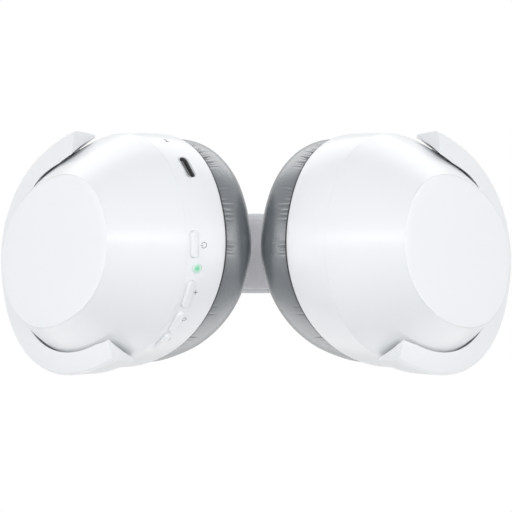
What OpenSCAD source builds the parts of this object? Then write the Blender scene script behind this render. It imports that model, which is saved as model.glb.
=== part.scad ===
// Over ear headphones with sliding arms, swivelling yokes and tilting cups.
// Millimetres. The origin is on the underside of the headband cushion, at the crown of the head.
// +Z is up, -Y is the front and -X is the wearer's right. The right cup carries the controls.

/* [Headband] */
// Half of the width over the arms
band_half_w = 94; // [90:0.5:98]
// Radius of the shoulder bends, on the outside
shoulder_r = 60; // [54:1:64]
// Half angle of the flat crown arc, in degrees
crown_angle = 45; // [42:1:48]
// Width of the headband at the crown
band_w = 37; // [34:0.5:40]
// Width of the arms at the sides
arm_w = 30; // [28:0.5:32]
// Height of the headband's top above the cushion's underside
crown_t = 17.5; // [16:0.5:20]

/* [Slider and swivel] */
// Level of the headband shell's lower ends
shell_end_z = -76; // [-78:0.5:-74]
// Level of the slider arms' lower ends
arm_end_z = -99.5; // [-101:0.5:-98]
// Thickness of the slider arms
arm_t = 7.5; // [7:0.25:8]
// Distance of the swivel pin from the middle plane of the headphones
swivel_x = 87; // [86:0.5:88]
// Distance of the swivel pin behind the arm's centre line
swivel_y = 8; // [7:0.5:9]
// Diameter of the swivel pin
swivel_d = 5; // [4:0.5:6]

/* [Cup] */
// Half of the cup's width, front to back
cup_a = 37.6; // [37:0.1:38.5]
// Half of the cup's height
cup_b = 48.4; // [47.5:0.1:49.5]
// Power of the cup's outline: 2 for an ellipse, more for fuller corners
cup_power = 2.2; // [2:0.05:2.3]
// Depth of the rim centre below the crown
cup_drop = 140; // [138:1:142]
// Distance of the rim centre from the middle plane
cup_x = 40.8; // [40:0.2:44]
// Inward tilt of the hanging cup, in degrees
cup_tilt = 41; // [38:0.5:42]
// Lean of the cup that follows the ear, in degrees
cup_roll = 16.75; // [14:0.25:18]
// Depth of the band from the rim to the crease
band_d = 13; // [12.5:0.25:13.5]
// Depth of the cup from the rim to the outer disc
cup_d = 33; // [32.5:0.1:34]
// Half width of the outer disc
disc_a = 23.3; // [22:0.1:24]
// Half height of the outer disc
disc_b = 32; // [31:0.1:34]
// Wall thickness of the cup's mouldings
wall = 2.2; // [1.8:0.1:2.4]

/* [Yoke] */
// How far the yoke stands proud of the rim
yoke_proud = 1.4; // [1.2:0.1:1.6]
// Distance of the yoke's outer edge from the rim
yoke_edge = 24; // [23:0.1:24.5]
// Gap between the yoke and the cup
yoke_gap = 1.1; // [0.9:0.1:1.3]
// How far the yoke's ends reach below the pivots, next to the crease
yoke_tip = 7.8; // [6:0.2:8]
// Slant of the yoke's ends: how much further they reach for each millimetre away from the rim
tip_slant = 0.27; // [0:0.01:0.3]
// Distance of the pivot axis from the rim
pivot_w = 18; // [17:0.25:19]
// Diameter of the pivot pins
pivot_d = 4; // [3:0.5:5]
// Tilt of the cup in its yoke, in degrees
tilt_range = 12; // [8:1:14]

/* [Ear pad] */
// Thickness of the pad
pad_t = 13; // [12:0.5:16]
// Width of the padded ring
pad_w = 16; // [14:0.5:18]

/* [Controls] */
// Angles of the keys round the rim, from its lowest point: power, louder, call, quieter
key_angles = [15.1, 38.7, 54.2, 67.6]; // [0:0.1:75]
// Lengths of the keys
key_lengths = [8.4, 9.2, 8.4, 7.8]; // [6:0.1:10]
// Width of the keys
key_w = 2.4; // [2:0.1:2.6]
// Distances of the keys from the rim
key_at = [11, 10.5, 10.2, 9.8]; // [9.5:0.1:11.1]
// How far the keys stand proud
key_proud = 0.9; // [0.7:0.1:1.2]
// Travel of the keys
key_travel = 0.5; // [0.3:0.1:0.6]

/* [Hidden] */
$fn = 48;

// Colours
white = [0.93, 0.94, 0.95];
grey = [0.50, 0.52, 0.54];
soft_grey = [0.64, 0.64, 0.67];
dark = [0.16, 0.17, 0.18];
steel = [0.72, 0.73, 0.75];
brass = [0.78, 0.63, 0.35];
board_green = [0.12, 0.33, 0.22];
lamp_green = [0.45, 0.90, 0.68];

// Headband path: a crown arc, two shoulder arcs and straight arms
crown_r = shoulder_r + (band_half_w - shoulder_r) / sin(crown_angle);
crown_len = crown_r * crown_angle * PI / 180;
shoulder_len = shoulder_r * (90 - crown_angle) * PI / 180;
crown_z = crown_t - crown_r;
shoulder_x = band_half_w - shoulder_r;
shoulder_z = crown_z + (crown_r - shoulder_r) * cos(crown_angle);
shell_half_len = crown_len + shoulder_len + shoulder_z - shell_end_z;
skin = 2.5;
flange = 8;
flange_t = 2;
width_ease = 0.7;
crowning = [[0, 0], [0.1, 0.5], [0.5, 0.8], [1.3, 0.94], [2.8, 1]];
spring_t = 0.8;
spring_w = 14;
carrier_t = 4.3;
carrier_clear = 0.1;
band_n = 22;
carrier_n = 17;
cushion_n = 16;
band_step = shell_half_len / band_n;
cushion_half_len = cushion_n * band_step;
cushion_top = skin + spring_t + carrier_t;
cushion_t = crown_t - cushion_top;
cushion_inset = 2.4;
cushion_side = 0.45;
cushion_thin = 0.7;
cushion_narrow = 0.12;

// Slider
strip_w = 18;
strip_t = 1.2;
strip_x = band_half_w - 5;
strip_top = -43;
strip_bottom = arm_end_z + 15.5;
strip_clear = 0.1;
guide_top = shoulder_z;
guide_h = guide_top - shell_end_z;
guide_t = 5;
guide_w = arm_w - 4.4;
cover_t = 1.5;
cover_top = -44;
cover_screw_y = guide_w / 2 - 1.9;
cover_screw_len = 4.5;
screw_head = [4, 0.8];
click_pitch = 3;
clicks = 8;
notch = [6, 1.4];
leaf = [0.4, 8, 8];
leaf_gap = 1.2;
bead_d = 1.2;
detent_z = strip_top - 4 - clicks * click_pitch;
boss_top = arm_end_z + 13.5;
boss_d = 11;
arm_edge = 1.5;
arm_corner = 6;
swivel_clear = 0.05;
head_d = 7.6;
head_t = 1.5;
barrel_d = 10.4;
barrel_gap = 0.5;
barrel_h = 12;
neck_h = 6;
neck_d = 2.4;
neck_w = [15, 21.4];
neck_angles = [-36, -22, -8, 6, 20];

// Cup
cup_n = 48;
yoke_n = 40;
yoke_low = band_d + 0.9;
yoke_round = 0.7;
yoke_thin = 0.8;
tilt_clear = 0.4;
fullness = 2 / cup_power;
crease_a = cup_a - 0.2;
crease_b = cup_b - 2.9;
shell_bulge = 1.2;
groove = 0.3;
rim_edge = 0.5;
ledge_at = 3.5;
ledge_t = 1.5;
ledge_w = 7.5;
baffle_t = 2;
scrim_t = 0.6;
pad_base = 0.8;
pad_flat = 1.12;
pad_inset = 0.9;
disc_t = 2;
disc_gap = 0.15;
driver_d = 40;
vent_d = 2.4;
vent_y = 26;
vent_pitch = 6;
post_h = 14;
post_x = 16;
post_y = 25;
post_d = 5;
bush_d = 8;
bush_in = 21;
bush_out = 28.6;
pin_out = 38;
screw_d = 2.6;

// Openings in the band
cut_in = 6;
cut_out = 4;
usb_angle = -20.3;
usb_at = 7.8;
usb_size = [8.9, 3.2];
usb_depth = 7.4;
mic_angle = -42.5;
mic_at = 7.2;
mic_size = [2.6, 0.9];
lamp_angle = 26.5;
lamp_at = 9.5;
lamp_d = 2.4;
key_clear = 0.3;
key_depth = 2.6;
switch = [2.4, 6, 7.1];

// Half width and half height of the cup's outside at a distance w from the rim
function band_a(w) = cup_a - (cup_a - crease_a) * pow(max(w, 0) / band_d, 2);
function band_b(w) = cup_b - (cup_b - crease_b) * pow(max(w, 0) / band_d, 2);
function cone_s(w) = (w - band_d) / (cup_d - band_d);
function bulge(w) = shell_bulge * 4 * cone_s(w) * (1 - cone_s(w));
function cone_a(w) = crease_a + (disc_a - crease_a) * cone_s(w) + bulge(w);
function cone_b(w) = crease_b + (disc_b - crease_b) * cone_s(w) + bulge(w);
function signed_pow(x, p) = sign(x) * pow(abs(x), p);

// Share of the half width or half height on the cup's full oval outline
function full(x) = signed_pow(x, fullness);

// Point on the headband at arc length l from the crown, depth d below the outside and offset y
function path_angle(l) = abs(l) < crown_len
    ? l / crown_r * 180 / PI
    : sign(l) * min(90, crown_angle + (abs(l) - crown_len) / shoulder_r * 180 / PI);
function path_point(l, d, y) =
    let (t = path_angle(l), past = max(0, abs(l) - crown_len - shoulder_len))
    abs(l) < crown_len
        ? [(crown_r - d) * sin(t), y, crown_z + (crown_r - d) * cos(t)]
        : [
            sign(l) * shoulder_x + (shoulder_r - d) * sin(t), y,
            shoulder_z + (shoulder_r - d) * cos(t) - past
        ];
function half_width(l) = arm_w / 2 + (band_w - arm_w) / 2 * pow(cos(path_angle(l)), width_ease);

// Stations along the headband, n on each side of the crown, shared so that the layers' facets meet
function stations(n) = [for (i = [-n : n]) i * band_step];

// Closed tube of sections, open ended, with flat end faces
module swept(sections) {
    m = len(sections[0]);
    n = len(sections);
    points = [for (s = sections) each s];
    sides = [
        for (i = [0 : n - 2], j = [0 : m - 1])
        let (k = (j + 1) % m)
        each [[i * m + j, i * m + k, (i + 1) * m + k], [i * m + j, (i + 1) * m + k, (i + 1) * m + j]]
    ];
    first = [for (j = [m - 1 : -1 : 0]) j];
    last = [for (j = [0 : m - 1]) (n - 1) * m + j];
    polyhedron(points, concat(sides, [first], [last]), convexity = 8);
}

// Oval ring: a closed profile of [half width, half height, w] carried round the cup
module oval_loop(profile, n = cup_n) {
    m = len(profile);
    points = [
        for (i = [0 : n - 1], p = profile)
        [p[0] * full(cos(360 * i / n)), p[1] * full(sin(360 * i / n)), p[2]]
    ];
    faces = [
        for (i = [0 : n - 1], j = [0 : m - 1])
        let (i2 = (i + 1) % n, k = (j + 1) % m)
        each [[i * m + j, i2 * m + k, i2 * m + j], [i * m + j, i * m + k, i2 * m + k]]
    ];
    polyhedron(points, faces, convexity = 8);
}

// Oval solid: a stack of [half width, half height, w] from the lowest w to the highest
module oval_stack(profile, n = cup_n) {
    swept([
        for (p = profile)
        [for (i = [0 : n - 1]) [p[0] * full(cos(360 * i / n)), p[1] * full(sin(360 * i / n)), p[2]]]
    ]);
}

// Flat oval of half width a and half height b
module oval(a, b, n = cup_n) {
    polygon([for (i = [0 : n - 1]) [a * full(cos(360 * i / n)), b * full(sin(360 * i / n))]]);
}

// Rectangle with round ends, centred, long in x
module stadium(size) {
    square([size[0] - size[1], size[1]], center = true);
    for (s = [-1, 1]) translate([s * (size[0] - size[1]) / 2, 0]) circle(d = size[1]);
}

module rounded_rect(size, r) {
    square([size[0] - 2 * r, size[1]], center = true);
    square([size[0], size[1] - 2 * r], center = true);
    for (x = [-1, 1], y = [-1, 1]) translate([x * (size[0] / 2 - r), y * (size[1] / 2 - r)]) circle(r);
}

// Frame of the right cup: x to the back, y down the cup, z outwards from the rim
module at_cup() {
    translate([-cup_x, 0, -cup_drop]) rotate([0, -cup_tilt, 0]) rotate([-90, 0, 90]) rotate([0, 0, cup_roll])
        children();
}

// Frame on the band's surface: x along the outward normal, y round the rim, z outwards
module on_band(angle, w) {
    a = band_a(w);
    b = band_b(w);
    lean = [signed_pow(sin(angle), 2 - fullness) / a, signed_pow(cos(angle), 2 - fullness) / b];
    translate([a * full(sin(angle)), b * full(cos(angle)), w]) rotate([0, 0, atan2(lean[1], lean[0])])
        children();
}

// Bar with round ends standing on the band, from depth to height along the normal
module bar_on_band(angle, w, size, depth, height) {
    on_band(angle, w) translate([-depth, 0, 0]) rotate([90, 0, 90])
        linear_extrude(depth + height) stadium(size);
}

module both_pivots() {
    for (s = [0, 180]) rotate([0, 0, s]) translate([0, 0, pivot_w]) rotate([0, 90, 0]) children();
}

module left() {
    mirror([1, 0, 0]) children();
}

// Headband: a crowned outside with a flange along each edge
function shell_section(l) = let (h = half_width(l), inside = h - flange_t) [
    for (p = crowning) path_point(l, p[0], p[1] * h),
    path_point(l, flange, h),
    path_point(l, flange, inside),
    path_point(l, skin, inside),
    path_point(l, skin, -inside),
    path_point(l, flange, -inside),
    path_point(l, flange, -h),
    for (i = [len(crowning) - 1 : -1 : 1]) path_point(l, crowning[i][0], -crowning[i][1] * h)
];

module headband_shell() {
    color(white) swept([for (l = stations(band_n)) shell_section(l)]);
}

function strip_section(l, top, bottom, h) = [
    path_point(l, top, -h), path_point(l, top, h), path_point(l, bottom, h), path_point(l, bottom, -h)
];

module spring_band() {
    color(steel)
        swept([for (l = stations(carrier_n)) strip_section(l, skin, skin + spring_t, spring_w / 2)]);
}

module cushion_carrier() {
    color(dark) swept([
        for (l = stations(carrier_n))
        strip_section(l, skin + spring_t, cushion_top, half_width(l) - flange_t - carrier_clear)
    ]);
}

// The cushion is flat on its carrier, crowned below, and thins out to its ends
function cushion_section(l, m) = let (
    h = half_width(l) - cushion_inset,
    fade = pow(abs(l) / cushion_half_len, 4),
    t = cushion_t * (1 - cushion_thin * fade)
) [
    for (j = [0 : m - 1])
    let (
        c = cos(360 * j / m),
        s = sin(360 * j / m),
        side = cushion_side,
        low = t * (s > 0 ? side + (1 - side) * pow(s, 0.8) : max(0, side - 0.5 * sqrt(-s)))
    )
    path_point(l, cushion_top + low, -h * (1 - cushion_narrow * fade) * signed_pow(c, 0.75))
];

module headband_cushion() {
    color(soft_grey) swept([for (l = stations(cushion_n)) cushion_section(l, 20)]);
}

// Slider in the end of the headband, right side
module slider_guide() {
    color(dark) difference() {
        translate([-band_half_w + skin, -guide_w / 2, shell_end_z]) cube([guide_t, guide_w, guide_h]);
        translate([-strip_x, 0, shell_end_z + guide_h / 2])
            cube([strip_t + 2 * strip_clear, strip_w + 2 * strip_clear, guide_h + 2], center = true);
        translate([-strip_x + guide_t / 2, 0, detent_z]) cube([guide_t, leaf[1], leaf[2]], center = true);
        cover_screw_places() cylinder(d = screw_d, h = 12, center = true);
    }
}

module cover_screw_places() {
    for (y = [-1, 1]) translate([-band_half_w + skin + guide_t, y * cover_screw_y, shell_end_z + 11])
        rotate([0, 90, 0]) children();
}

module slider_cover() {
    color(white) difference() {
        translate([-band_half_w + skin + guide_t, 0, 0]) rotate([90, 0, 90]) linear_extrude(cover_t)
            translate([0, (cover_top + shell_end_z) / 2])
                rounded_rect([guide_w, cover_top - shell_end_z], 2);
        cover_screw_places() cylinder(d = screw_d, h = 12, center = true);
    }
}

module cover_screws() {
    color(steel) for (side = [0, 1]) mirror([side, 0, 0]) cover_screw_places() {
        translate([0, 0, -cover_screw_len]) cylinder(d = screw_d, h = cover_screw_len + cover_t);
        translate([0, 0, cover_t]) cylinder(d = screw_head[0], h = screw_head[1]);
    }
}

// Leaf spring whose bead clicks into the strip's notches
module detent_spring() {
    color(steel) translate([-strip_x + strip_t / 2, 0, detent_z]) {
        translate([leaf_gap + leaf[0] / 2, 0, 0]) cube(leaf, center = true);
        translate([bead_d / 2 + swivel_clear, 0, 0]) rotate([90, 0, 0])
            cylinder(d = bead_d, h = notch[0] - 1, center = true);
    }
}

module slider_strip() {
    color(steel) difference() {
        translate([-strip_x - strip_t / 2, -strip_w / 2, strip_bottom])
            cube([strip_t, strip_w, strip_top - strip_bottom]);
        for (i = [0 : clicks]) translate([-strip_x, 0, detent_z + i * click_pitch])
            cube([strip_t + 1, notch[0], notch[1]], center = true);
    }
}

// Section of the arm, with the headband's own crowned outside
module arm_outline() {
    half = [
        for (p = crowning) [p[0], p[1] * arm_w / 2],
        [arm_t - arm_edge, arm_w / 2],
        [arm_t, arm_w / 2 - arm_edge]
    ];
    polygon(concat(half, [for (i = [len(half) - 1 : -1 : 1]) [half[i][0], -half[i][1]]]));
}

module slider_arm() {
    color(white) difference() {
        union() {
            intersection() {
                translate([-band_half_w, 0, arm_end_z]) linear_extrude(shell_end_z - barrel_gap - arm_end_z)
                    arm_outline();
                translate([-band_half_w - 1, 0, arm_end_z + arm_w]) rotate([90, 0, 90])
                    linear_extrude(arm_t + 2) rounded_rect([arm_w, 2 * arm_w], arm_corner);
            }
            translate([-swivel_x, swivel_y, arm_end_z]) cylinder(d = boss_d, h = boss_top - arm_end_z);
        }
        translate([-strip_x - strip_t / 2, -strip_w / 2, strip_bottom])
            cube([strip_t, strip_w, shell_end_z - strip_bottom]);
        translate([-swivel_x, swivel_y, arm_end_z - 1])
            cylinder(d = swivel_d + 2 * swivel_clear, h = boss_top - arm_end_z + 2);
        translate([-swivel_x, swivel_y, boss_top]) cylinder(d = head_d + 0.8, h = head_t + 0.4);
    }
}

module swivel_pin() {
    color(steel) translate([-swivel_x, swivel_y, 0]) {
        translate([0, 0, arm_end_z - barrel_gap - barrel_h + 2])
            cylinder(d = swivel_d, h = boss_top - arm_end_z + barrel_gap + barrel_h - 1.8);
        translate([0, 0, boss_top + 0.1]) cylinder(d = head_d, h = head_t);
    }
}

// Yoke: a horseshoe ring round the upper half of the cup, with a barrel for the swivel pin
function cup_half_a(w) = w < band_d ? band_a(w) : cone_a(w);

// Place on the cup that comes to height v and distance w when the cup is tilted to its limit
function tilted_w(v, w) = pivot_w + (w - pivot_w) * cos(tilt_range) - max(v, 0) * sin(tilt_range);

// Inside of the yoke at height v and distance w: clear of the cup at rest and at the limit of its tilt
function yoke_a(v, w) = min(
    max(cup_half_a(w) + yoke_gap, cup_half_a(tilted_w(v, w)) + tilt_clear),
    cup_a + yoke_proud - yoke_thin
);

// Point at distance w and at q from 0, the back end, over the top to 1, the front end. It is on the yoke's
// inside, or on its outside where proud says how far it stands out from the rim's outline
function yoke_point(q, w, proud = undef) = let (
    b = is_undef(proud) ? cone_b(w) + yoke_gap : cup_b + proud,
    tip = yoke_tip + tip_slant * (w - yoke_low),
    end = asin(pow(tip / b, 1 / fullness)),
    t = (180 + 2 * end) * q - end,
    v = -b * full(sin(t)),
    a = is_undef(proud) ? yoke_a(v, w) : cup_a + proud
) [a * full(cos(t)), v, w];

// Section of the yoke: a wedge between the flared shell and the rim's outline
function yoke_section(q) = [
    yoke_point(q, yoke_low, yoke_proud),
    yoke_point(q, yoke_edge - 1, yoke_proud),
    yoke_point(q, yoke_edge, yoke_proud - yoke_round),
    for (w = [yoke_edge, (yoke_low + yoke_edge) / 2, yoke_low]) yoke_point(q, w)
];

module yoke_ring() {
    swept([for (i = [yoke_n : -1 : 0]) yoke_section(i / yoke_n)]);
}

// Foot of the yoke's barrel, under the end of the arm
module at_barrel() {
    translate([-swivel_x, swivel_y, arm_end_z - barrel_gap - barrel_h]) children();
}

// Short bar in the thickness of the ring, where the neck grows out of it
module neck_root(angle) {
    in = yoke_proud - neck_d / 2;
    at_cup() translate([(cup_a + in) * full(sin(angle)), -(cup_b + in) * full(cos(angle)), neck_w[0]])
        cylinder(d = neck_d, h = neck_w[1] - neck_w[0], $fn = 16);
}

module yoke() {
    color(white) difference() {
        union() {
            at_cup() yoke_ring();
            for (i = [0 : len(neck_angles) - 2]) hull() {
                at_barrel() cylinder(d = barrel_d, h = neck_h);
                neck_root(neck_angles[i]);
                neck_root(neck_angles[i + 1]);
            }
            at_barrel() cylinder(d = barrel_d, h = barrel_h);
        }
        at_barrel() translate([0, 0, 2]) cylinder(d = swivel_d, h = barrel_h);
        at_cup() both_pivots() cylinder(d = pivot_d, h = pin_out);
    }
}

module pivot_pins() {
    color(steel) at_cup() both_pivots() translate([0, 0, bush_in + 0.5])
        cylinder(d = pivot_d, h = pin_out - bush_in - 0.5);
}

// Cup band: the rim ring, with a ledge inside for the baffle
module band_ring() {
    oval_loop([
        [cup_a - rim_edge, cup_b - rim_edge, 0],
        for (w = [0.05, 0.25, 0.5, 0.75, 1]) [band_a(w * band_d), band_b(w * band_d), w * band_d],
        [crease_a - wall, crease_b - wall, band_d],
        [cup_a - wall, crease_b - wall, ledge_at + ledge_t],
        [cup_a - ledge_w, crease_b - ledge_w, ledge_at + ledge_t],
        [cup_a - ledge_w, crease_b - ledge_w, ledge_at],
        [cup_a - wall, cup_b - wall, ledge_at],
        [cup_a - wall, cup_b - wall, rim_edge]
    ]);
}

module baffle_screw_places() {
    for (angle = [0, 75, 180, 255]) translate([
        (cup_a - ledge_w + 2.6) * full(sin(angle)), (crease_b - ledge_w + 2.6) * full(cos(angle)), 0
    ]) children();
}

function key_slot(k) = [key_lengths[k] + 2 * key_clear, key_w + 2 * key_clear];

module cup_band_plain() {
    difference() {
        band_ring();
        baffle_screw_places() cylinder(d = screw_d, h = 8);
    }
}

module cup_band_r() {
    color(white) at_cup() difference() {
        cup_band_plain();
        for (k = [0 : 3]) bar_on_band(key_angles[k], key_at[k], key_slot(k), cut_in, cut_out);
        bar_on_band(usb_angle, usb_at, usb_size, cut_in + 3, cut_out);
        bar_on_band(mic_angle, mic_at, mic_size, cut_in, cut_out);
        on_band(lamp_angle, lamp_at) rotate([0, 90, 0]) cylinder(d = lamp_d, h = 12, center = true);
    }
}

module cup_band_l() {
    color(white) left() at_cup() cup_band_plain();
}

// Flared outer shell, with a seat for the disc and bosses for the pivot bushes
module shell_wall() {
    inner = [27, 22, 17];
    oval_loop([
        for (w = [band_d + groove, 16, 19, 22, 25, 28, 31, cup_d - 0.2]) [cone_a(w), cone_b(w), w],
        [disc_a + disc_gap, disc_b + disc_gap, cup_d],
        [disc_a + disc_gap, disc_b + disc_gap, cup_d - disc_t],
        [disc_a - 4, disc_b - 4, cup_d - disc_t],
        [disc_a - 4, disc_b - 4, cup_d - disc_t - 1.6],
        for (w = inner) [cone_a(w) - wall, cone_b(w) - wall, w],
        [crease_a - wall, crease_b - wall, band_d],
        [crease_a - groove, crease_b - groove, band_d]
    ]);
}

module outer_shell() {
    color(white) at_cup() difference() {
        union() {
            shell_wall();
            both_pivots() translate([0, 0, bush_in - 0.5])
                cylinder(d = bush_d + 4, h = bush_out - bush_in + 0.9);
            both_pivots() translate([0, 0, bush_out]) cylinder(d = pivot_d + 4, h = 2.4);
        }
        both_pivots() translate([0, 0, bush_in - 1]) cylinder(d = bush_d, h = bush_out - bush_in + 1);
        both_pivots() translate([0, 0, bush_in]) cylinder(d = pivot_d + 1, h = 20);
    }
}

module disc_cap() {
    color(white) at_cup() oval_stack([
        [disc_a, disc_b, cup_d - disc_t],
        [disc_a, disc_b, cup_d - 0.5],
        [disc_a - 0.5, disc_b - 0.5, cup_d]
    ]);
}

module pivot_bushes() {
    color(brass) at_cup() both_pivots() translate([0, 0, bush_in]) difference() {
        cylinder(d = bush_d, h = bush_out - bush_in);
        translate([0, 0, -1]) cylinder(d = pivot_d + 0.1, h = bush_out - bush_in + 2);
    }
}

// Baffle with four posts that carry the board or the cell, and vents above and below the driver
module baffle() {
    color(dark) at_cup() difference() {
        union() {
            translate([0, 0, ledge_at - baffle_t]) linear_extrude(baffle_t)
                oval(cup_a - wall - 0.2, cup_b - wall - 0.2);
            for (x = [-1, 1], y = [-1, 1]) translate([x * post_x, y * post_y, ledge_at - 0.5])
                cylinder(d = post_d, h = post_h + 0.5);
        }
        cylinder(d = driver_d - 1, h = 20, center = true);
        for (i = [-1, 0, 1], y = [-1, 1]) translate([i * vent_pitch, y * vent_y, 0])
            cylinder(d = vent_d, h = 20, center = true, $fn = 24);
        baffle_screw_places() cylinder(d = screw_d, h = 8);
    }
}

module baffle_screws() {
    color(steel) at_cup() baffle_screw_places() translate([0, 0, ledge_at - baffle_t])
        cylinder(d = screw_d, h = baffle_t + ledge_t);
}

// Driver: basket on the back of the baffle, magnet in the basket, cone in front
module driver_basket() {
    color(dark) at_cup() translate([0, 0, ledge_at]) rotate_extrude() polygon([
        [driver_d / 2 - 2.5, 0], [driver_d / 2 + 2, 0], [driver_d / 2 + 2, 1.2], [driver_d / 2, 1.2],
        [driver_d / 2 - 4, 6.5], [13.2, 6.5], [13.2, 5.3], [driver_d / 2 - 4.6, 5.3]
    ]);
}

module driver_magnet() {
    color(steel) at_cup() translate([0, 0, ledge_at + 5]) difference() {
        cylinder(d = 26.4, h = 5);
        translate([0, 0, -1]) cylinder(d = 7, h = 7);
    }
}

module diaphragm() {
    color(soft_grey) at_cup() translate([0, 0, ledge_at]) rotate_extrude() polygon([
        [0, -0.6], [6, -0.1], [8, 1.2], [12, 0.4], [driver_d / 2 - 3.5, -0.8], [driver_d / 2 - 0.5, -0.8],
        [driver_d / 2 - 0.5, 0], [driver_d / 2 - 3.2, 0], [12.3, 1.2], [8, 2], [5.6, 0.7], [0, 0.2]
    ]);
}

module scrim() {
    color(dark) at_cup() translate([0, 0, ledge_at - baffle_t - scrim_t]) linear_extrude(scrim_t)
        oval(cup_a - pad_w + 1.4, cup_b - pad_w + 1.4);
}

module pad_ring() {
    outer = wall + 0.3;
    inner = pad_w - 1.5;
    ring_t = pad_base + ledge_at - baffle_t;
    color(dark) at_cup() translate([0, 0, -pad_base]) linear_extrude(ring_t) difference() {
        oval(cup_a - outer, cup_b - outer);
        oval(cup_a - inner, cup_b - inner);
    }
}

// Ear pad: a full oval ring, drawn in where it meets its mounting ring
module ear_pad() {
    m = 20;
    half = pad_w / 2;
    color(grey) at_cup() oval_loop([
        for (j = [0 : m - 1])
        let (
            c = cos(360 * j / m),
            s = sin(360 * j / m),
            r = -pad_inset - half + half * signed_pow(c, 0.85),
            w = -pad_base - pad_t / 2 + pad_t / 2 * min(1, (s > 0 ? pad_flat : 1) * signed_pow(s, 0.85))
        )
        [cup_a + r, cup_b + r, w]
    ]);
}

// Electronics
module main_board() {
    color(board_green) at_cup() translate([0, 0, ledge_at + post_h]) {
        linear_extrude(1.6) rounded_rect([2 * post_x + 6, 2 * post_y + 6], 3);
        translate([0, -6, 1.6]) linear_extrude(1.8) rounded_rect([14, 14], 0.5);
        translate([6, 13, 1.6]) linear_extrude(1.2) rounded_rect([8, 6], 0.5);
    }
}

module battery() {
    color(soft_grey) at_cup() translate([0, 0, ledge_at + post_h])
        linear_extrude(6) rounded_rect([2 * post_x + 4, 2 * post_y + 4], 3);
}

module usb_socket() {
    color(steel) at_cup() difference() {
        bar_on_band(usb_angle, usb_at, usb_size, usb_depth + 0.8, -0.8);
        bar_on_band(usb_angle, usb_at, [usb_size[0] - 0.6, usb_size[1] - 0.6], usb_depth - 0.4, 2);
    }
    color(dark) at_cup() on_band(usb_angle, usb_at) translate([-usb_depth / 2 - 0.8, 0, 0])
        cube([usb_depth - 0.8, 6.6, 0.7], center = true);
}

module microphone() {
    color(dark) at_cup() bar_on_band(mic_angle, mic_at, mic_size, wall + 0.2, -0.5);
}

module lamp_guide() {
    color(lamp_green) at_cup() on_band(lamp_angle, lamp_at) translate([-4, 0, 0]) rotate([0, 90, 0])
        cylinder(d = lamp_d, h = 4.1);
}

// One click switch behind each key, standing on the band's ledge
module key_switches() {
    back = key_depth + key_travel + key_clear + switch[0];
    color(dark) at_cup() for (k = [0 : 3]) on_band(key_angles[k], key_at[k])
        translate([-back, -switch[1] / 2, ledge_at + ledge_t - key_at[k]]) cube(switch);
}

module key(k) {
    color(white) at_cup()
        bar_on_band(key_angles[k], key_at[k], [key_lengths[k], key_w], key_depth, key_proud);
}

module power_key() {
    key(0);
}

module louder_key() {
    key(1);
}

module call_key() {
    key(2);
}

module quieter_key() {
    key(3);
}

headband_shell();
spring_band();
cushion_carrier();
headband_cushion();
slider_guide();  // slider_guide_r
left() slider_guide();  // slider_guide_l
slider_cover();  // slider_cover_r
left() slider_cover();  // slider_cover_l
detent_spring();  // detent_spring_r
left() detent_spring();  // detent_spring_l
cover_screws();
slider_arm();  // slider_arm_r
left() slider_arm();  // slider_arm_l
slider_strip();  // slider_strip_r
left() slider_strip();  // slider_strip_l
yoke();  // yoke_r
left() yoke();  // yoke_l
swivel_pin();  // swivel_pin_r
left() swivel_pin();  // swivel_pin_l
pivot_pins();  // pivot_pins_r
left() pivot_pins();  // pivot_pins_l
cup_band_r();
cup_band_l();
outer_shell();  // outer_shell_r
left() outer_shell();  // outer_shell_l
disc_cap();  // disc_cap_r
left() disc_cap();  // disc_cap_l
pivot_bushes();  // pivot_bushes_r
left() pivot_bushes();  // pivot_bushes_l
baffle();  // baffle_r
left() baffle();  // baffle_l
baffle_screws();  // baffle_screws_r
left() baffle_screws();  // baffle_screws_l
driver_basket();  // driver_basket_r
left() driver_basket();  // driver_basket_l
driver_magnet();  // driver_magnet_r
left() driver_magnet();  // driver_magnet_l
diaphragm();  // diaphragm_r
left() diaphragm();  // diaphragm_l
scrim();  // scrim_r
left() scrim();  // scrim_l
pad_ring();  // pad_ring_r
left() pad_ring();  // pad_ring_l
ear_pad();  // ear_pad_r
left() ear_pad();  // ear_pad_l
main_board();
left() battery();
usb_socket();
microphone();
lamp_guide();
key_switches();
power_key();
louder_key();
call_key();
quieter_key();
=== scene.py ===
import math

import bmesh
import bpy
from bpy.props import FloatProperty, FloatVectorProperty, IntProperty, PointerProperty
from bpy.types import Operator, Panel, PropertyGroup
from mathutils import Matrix, Vector, noise


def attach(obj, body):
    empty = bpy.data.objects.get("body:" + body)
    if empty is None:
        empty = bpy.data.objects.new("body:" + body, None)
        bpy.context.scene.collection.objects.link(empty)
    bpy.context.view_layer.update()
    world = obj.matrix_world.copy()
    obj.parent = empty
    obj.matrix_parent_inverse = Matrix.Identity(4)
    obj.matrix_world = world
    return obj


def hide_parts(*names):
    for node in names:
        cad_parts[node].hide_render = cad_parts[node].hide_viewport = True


bl_info = {
    "name": "Over Ear Headphones",
    "version": (1, 0, 0),
    "blender": (4, 5, 0),
    "location": "View3D > Sidebar > Headphones",
    "description": "Smooth shells, padding, keys and finishes on the frame of a pair of headphones",
    "category": "Object",
}

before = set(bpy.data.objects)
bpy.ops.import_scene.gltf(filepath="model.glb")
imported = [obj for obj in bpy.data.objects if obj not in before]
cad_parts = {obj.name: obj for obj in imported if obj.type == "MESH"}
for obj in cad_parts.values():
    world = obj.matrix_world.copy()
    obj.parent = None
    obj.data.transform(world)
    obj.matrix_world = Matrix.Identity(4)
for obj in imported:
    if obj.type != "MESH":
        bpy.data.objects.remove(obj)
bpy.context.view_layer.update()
MM = 0.001


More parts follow.
